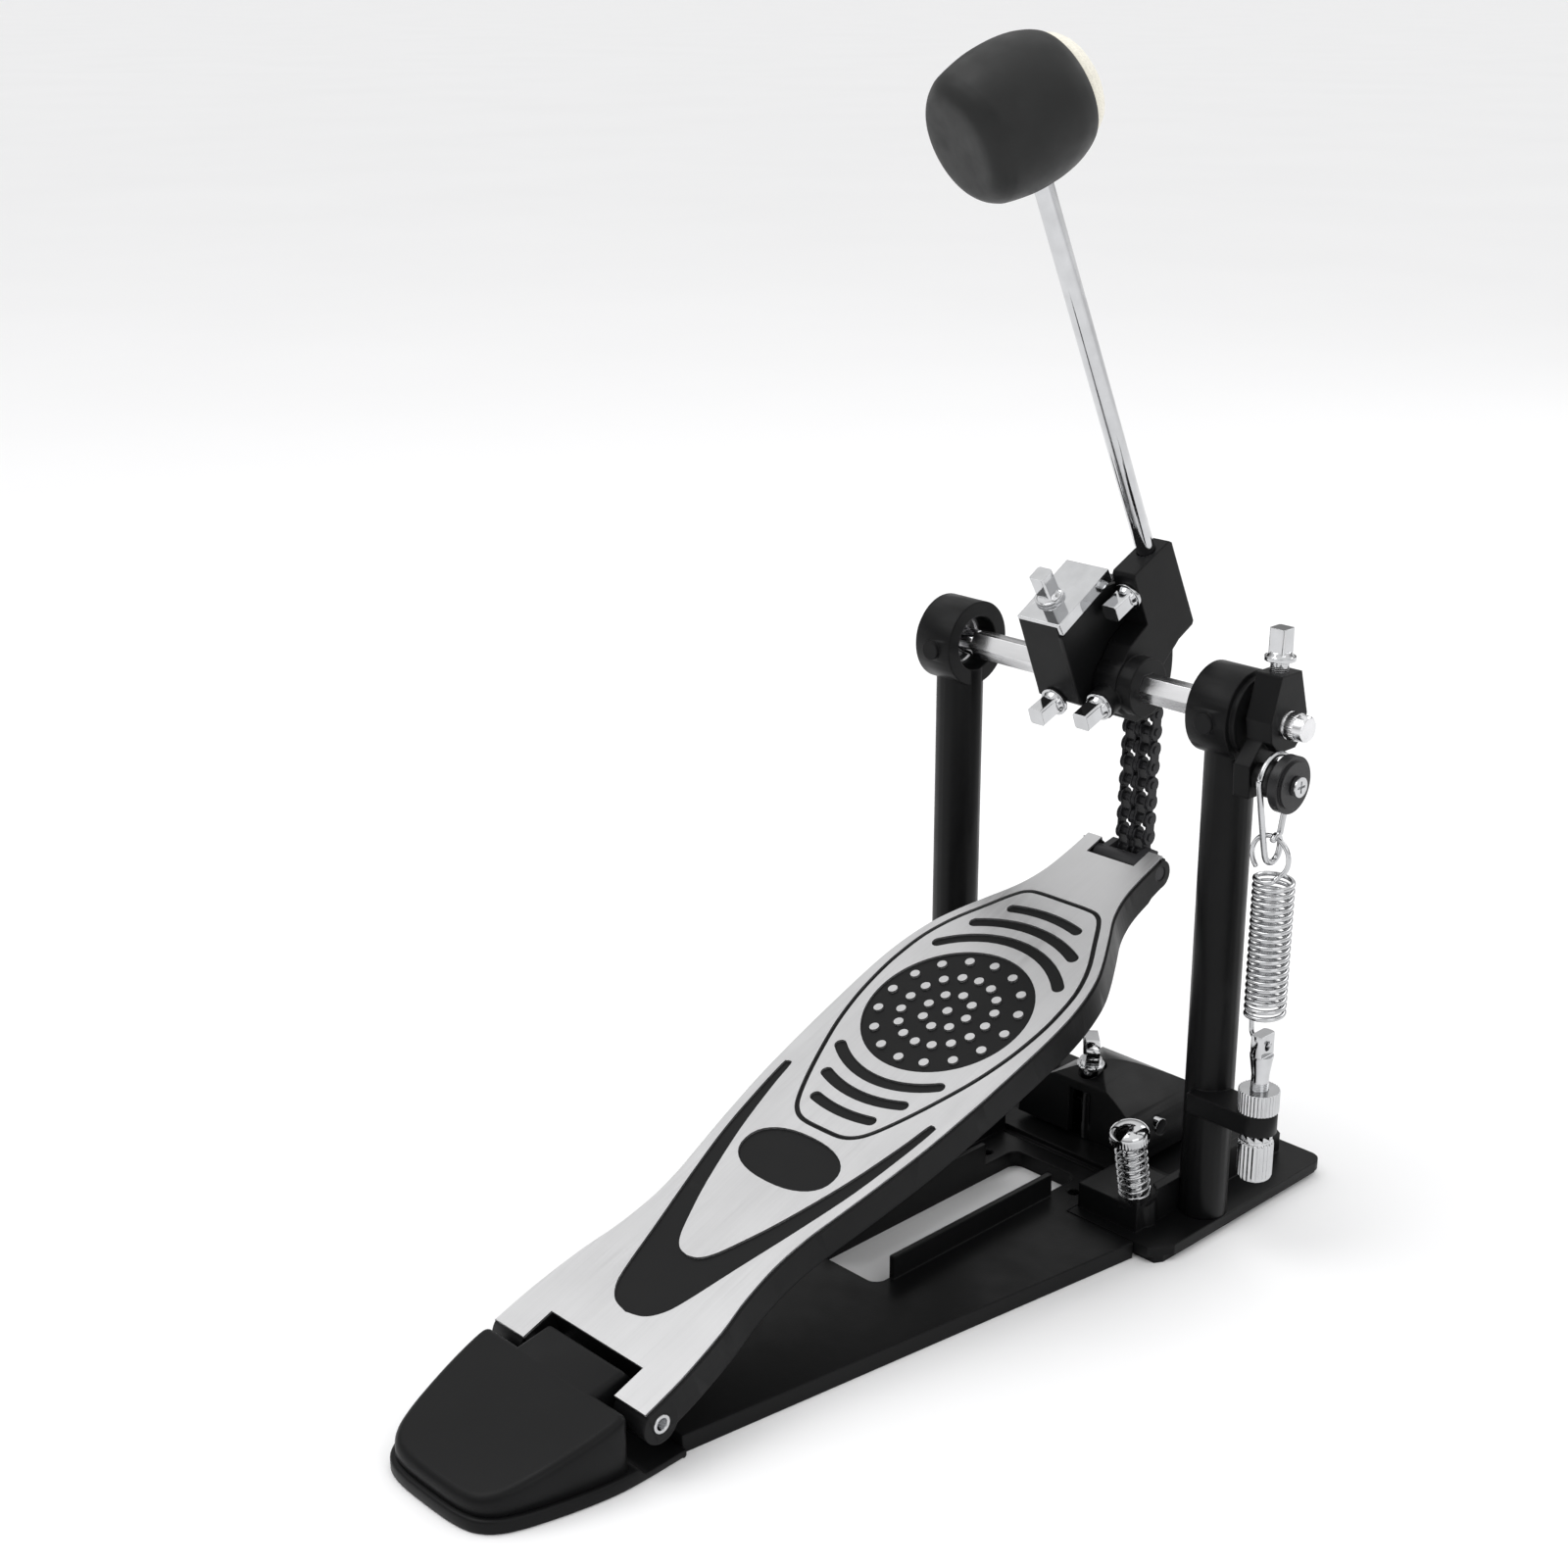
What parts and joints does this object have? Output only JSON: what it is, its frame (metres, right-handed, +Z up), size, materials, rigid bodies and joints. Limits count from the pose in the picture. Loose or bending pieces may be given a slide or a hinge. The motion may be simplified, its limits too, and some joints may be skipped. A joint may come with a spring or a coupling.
{
  "type": "bass drum pedal",
  "caption": "Bass drum pedal: hinged footboard, chain and sprocket drive, hex axle on twin posts, beater with felt face, side return spring, hoop clamp and floor spurs.",
  "frame": {"origin": "on the floor, in the mid-plane of the footboard, vertically under the axle", "axes": "+X to the player's right along the axle, +Y towards the drum, +Z up"},
  "size_m": [0.1574, 0.3405, 0.3877],
  "materials": {
    "black_coat": "satin black powder coat over cast metal",
    "plate_coat": "satin black powder coat over pressed steel",
    "bright_chrome": "bright chrome plate",
    "spring_wire": "bright plated spring wire",
    "bright_steel": "plated steel bar",
    "dark_steel": "black oxide steel",
    "chain_steel": "oiled black roller chain",
    "bare_alloy": "machined and brushed bare metal",
    "roller_plastic": "moulded black plastic",
    "head_plastic": "smooth matte black plastic",
    "felt": "pressed cream felt",
    "pad_rubber": "black rubber pad"
  },
  "bodies": {
    "frame": {"base_plate": "plate_coat", "heel_block": "black_coat", "cross_casting": "black_coat", "post_left": "black_coat", "post_right": "black_coat", "bearing_left": "bright_steel", "bearing_right": "bright_steel", "hinge_pin": "bright_chrome", "frame_screws": "dark_steel", "swivel_bolt": "bright_chrome", "return_spring": "spring_wire", "hoop_pad": "pad_rubber", "jaw_pin": "bright_chrome", "spur_spring_left": "spring_wire", "spur_spring_right": "spring_wire"},
    "board": {"footboard": "black_coat", "footboard_face": "bare_alloy", "toe_pin": "dark_steel", "chain_connector": "dark_steel", "connector_screws": "bright_chrome"},
    "axle": {"axle_shaft": "bright_steel", "sprocket": "black_coat", "chain_wrapped": "chain_steel", "clamp_plate": "bright_chrome", "clamp_bolt": "bright_chrome", "sprocket_bolt": "bright_chrome", "beater_holder": "black_coat", "holder_bolt": "bright_chrome", "beater_bolt": "bright_chrome", "rocker_arm": "black_coat", "rocker_bolt": "bright_chrome", "roller_screw": "bright_chrome"},
    "beater": {"beater_rod": "bright_chrome", "beater_head": "head_plastic", "beater_felt": "felt"},
    "roller": {"roller": "roller_plastic"},
    "chain_4": {"chain_link_4": "chain_steel"},
    "chain_3": {"chain_link_3": "chain_steel"},
    "chain_2": {"chain_link_2": "chain_steel"},
    "chain_1": {"chain_link_1": "chain_steel"},
    "chain_run": {"chain_hanging": "chain_steel"},
    "stirrup": {"stirrup": "spring_wire"},
    "lock_nut": {"lock_nut": "bright_chrome"},
    "tension_nut": {"tension_nut": "bright_chrome"},
    "jaw": {"clamp_jaw": "black_coat"},
    "wing_screw": {"wing_screw": "bright_chrome"},
    "spur_left": {"spur_left": "bright_chrome"},
    "spur_right": {"spur_right": "bright_chrome"}
  },
  "joints": [
    {"name": "footboard_press", "type": "hinge", "parent": "frame", "child": "board", "pos_m": [0, -0.2232, 0.0166], "axis": [1, 0, 0], "range_deg": [-5.07, 0], "stiffness_Nm_per_rad": 40, "springref_deg": 2.29},
    {"name": "axle_turn", "type": "hinge", "parent": "frame", "child": "axle", "pos_m": [0, 0, 0.1833], "axis": [1, 0, 0], "range_deg": [-43.07, 0]},
    {"name": "link_4_pivot", "type": "hinge", "parent": "axle", "child": "chain_4", "pos_m": [0, 0.02091, 0.20533], "axis": [1, 0, 0], "range_deg": [0, 6.02]},
    {"name": "link_3_pivot", "type": "hinge", "parent": "chain_4", "child": "chain_3", "pos_m": [0, 0.02503, 0.2005], "axis": [1, 0, 0], "range_deg": [0, 12.02]},
    {"name": "link_2_pivot", "type": "hinge", "parent": "chain_3", "child": "chain_2", "pos_m": [0, 0.02806, 0.19492], "axis": [1, 0, 0], "range_deg": [0, 12.02]},
    {"name": "link_1_pivot", "type": "hinge", "parent": "chain_2", "child": "chain_1", "pos_m": [0, 0.02987, 0.18884], "axis": [1, 0, 0], "range_deg": [0, 12.02]},
    {"name": "chain_swing", "type": "hinge", "parent": "board", "child": "chain_run", "pos_m": [0, 0.02854, 0.11268], "axis": [1, 0, 0], "range_deg": [0, 10.04]},
    {"name": "stirrup_lift", "type": "slide", "parent": "frame", "child": "stirrup", "axis": [0, -0.6158, 0.7879], "range_m": [0, 0.01305], "deforming": ["return_spring"]},
    {"name": "roller_spin", "type": "hinge", "parent": "axle", "child": "roller", "pos_m": [0.083, -0.009, 0.168], "axis": [1, 0, 0], "continuous": true},
    {"name": "beater_height", "type": "slide", "parent": "axle", "child": "beater", "axis": [0, -0.4337, 0.9011], "range_m": [-0.03, 0.02]},
    {"name": "lock_nut_spin", "type": "hinge", "parent": "frame", "child": "lock_nut", "pos_m": [0.081, -0.006, 0.058], "axis": [0, 0, 1], "continuous": true},
    {"name": "tension_nut_spin", "type": "hinge", "parent": "frame", "child": "tension_nut", "pos_m": [0.081, -0.006, 0.038], "axis": [0, 0, 1], "continuous": true},
    {"name": "wing_screw_turn", "type": "hinge", "parent": "frame", "child": "wing_screw", "pos_m": [0, 0.0095, 0.04], "axis": [0, 0, 1], "range_deg": [0, 300]},
    {"name": "jaw_tilt", "type": "hinge", "parent": "frame", "child": "jaw", "pos_m": [0, 0.017, 0.019], "axis": [1, 0, 0], "range_deg": [0, 8]},
    {"name": "spur_left_turn", "type": "hinge", "parent": "frame", "child": "spur_left", "pos_m": [-0.046, -0.0195, 0], "axis": [0, -0.1908, 0.9816], "continuous": true},
    {"name": "spur_right_turn", "type": "hinge", "parent": "frame", "child": "spur_right", "pos_m": [0.046, -0.0195, 0], "axis": [0, -0.1908, 0.9816], "continuous": true}
  ],
  "couplings": [
    {"joint": "axle_turn", "follows": "footboard_press", "ratio": 8.4887},
    {"joint": "link_4_pivot", "follows": "footboard_press", "ratio": -1.183},
    {"joint": "link_3_pivot", "follows": "footboard_press", "ratio": -2.3659},
    {"joint": "link_2_pivot", "follows": "footboard_press", "ratio": -2.3659},
    {"joint": "link_1_pivot", "follows": "footboard_press", "ratio": -2.3659},
    {"joint": "chain_swing", "follows": "footboard_press", "ratio": -1.9751},
    {"joint": "stirrup_lift", "follows": "footboard_press", "m_per_rad": -0.14716},
    {"joint": "jaw_tilt", "follows": "wing_screw_turn", "ratio": 0.026526}
  ]
}
